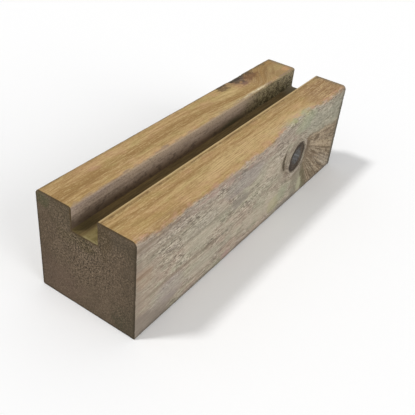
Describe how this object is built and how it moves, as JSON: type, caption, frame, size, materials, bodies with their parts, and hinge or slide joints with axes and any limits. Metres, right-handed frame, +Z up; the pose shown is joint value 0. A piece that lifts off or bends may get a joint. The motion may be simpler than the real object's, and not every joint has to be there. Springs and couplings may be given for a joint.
{
  "type": "slotted timber fence post",
  "caption": "Short length of square timber fence post with a groove machined along it that holds the edge of a fence panel.",
  "frame": {"origin": "centre of the underside, the plain back face that the post lies on", "axes": "+X along the post, +Z up out of the groove's mouth, -Y towards the side with the large knot"},
  "size_m": [0.345, 0.1, 0.098],
  "materials": {
    "weathered_timber": "bare, weathered, sawn and planed"
  },
  "bodies": {
    "root": {"slotted_post": "weathered_timber"}
  },
  "joints": []
}
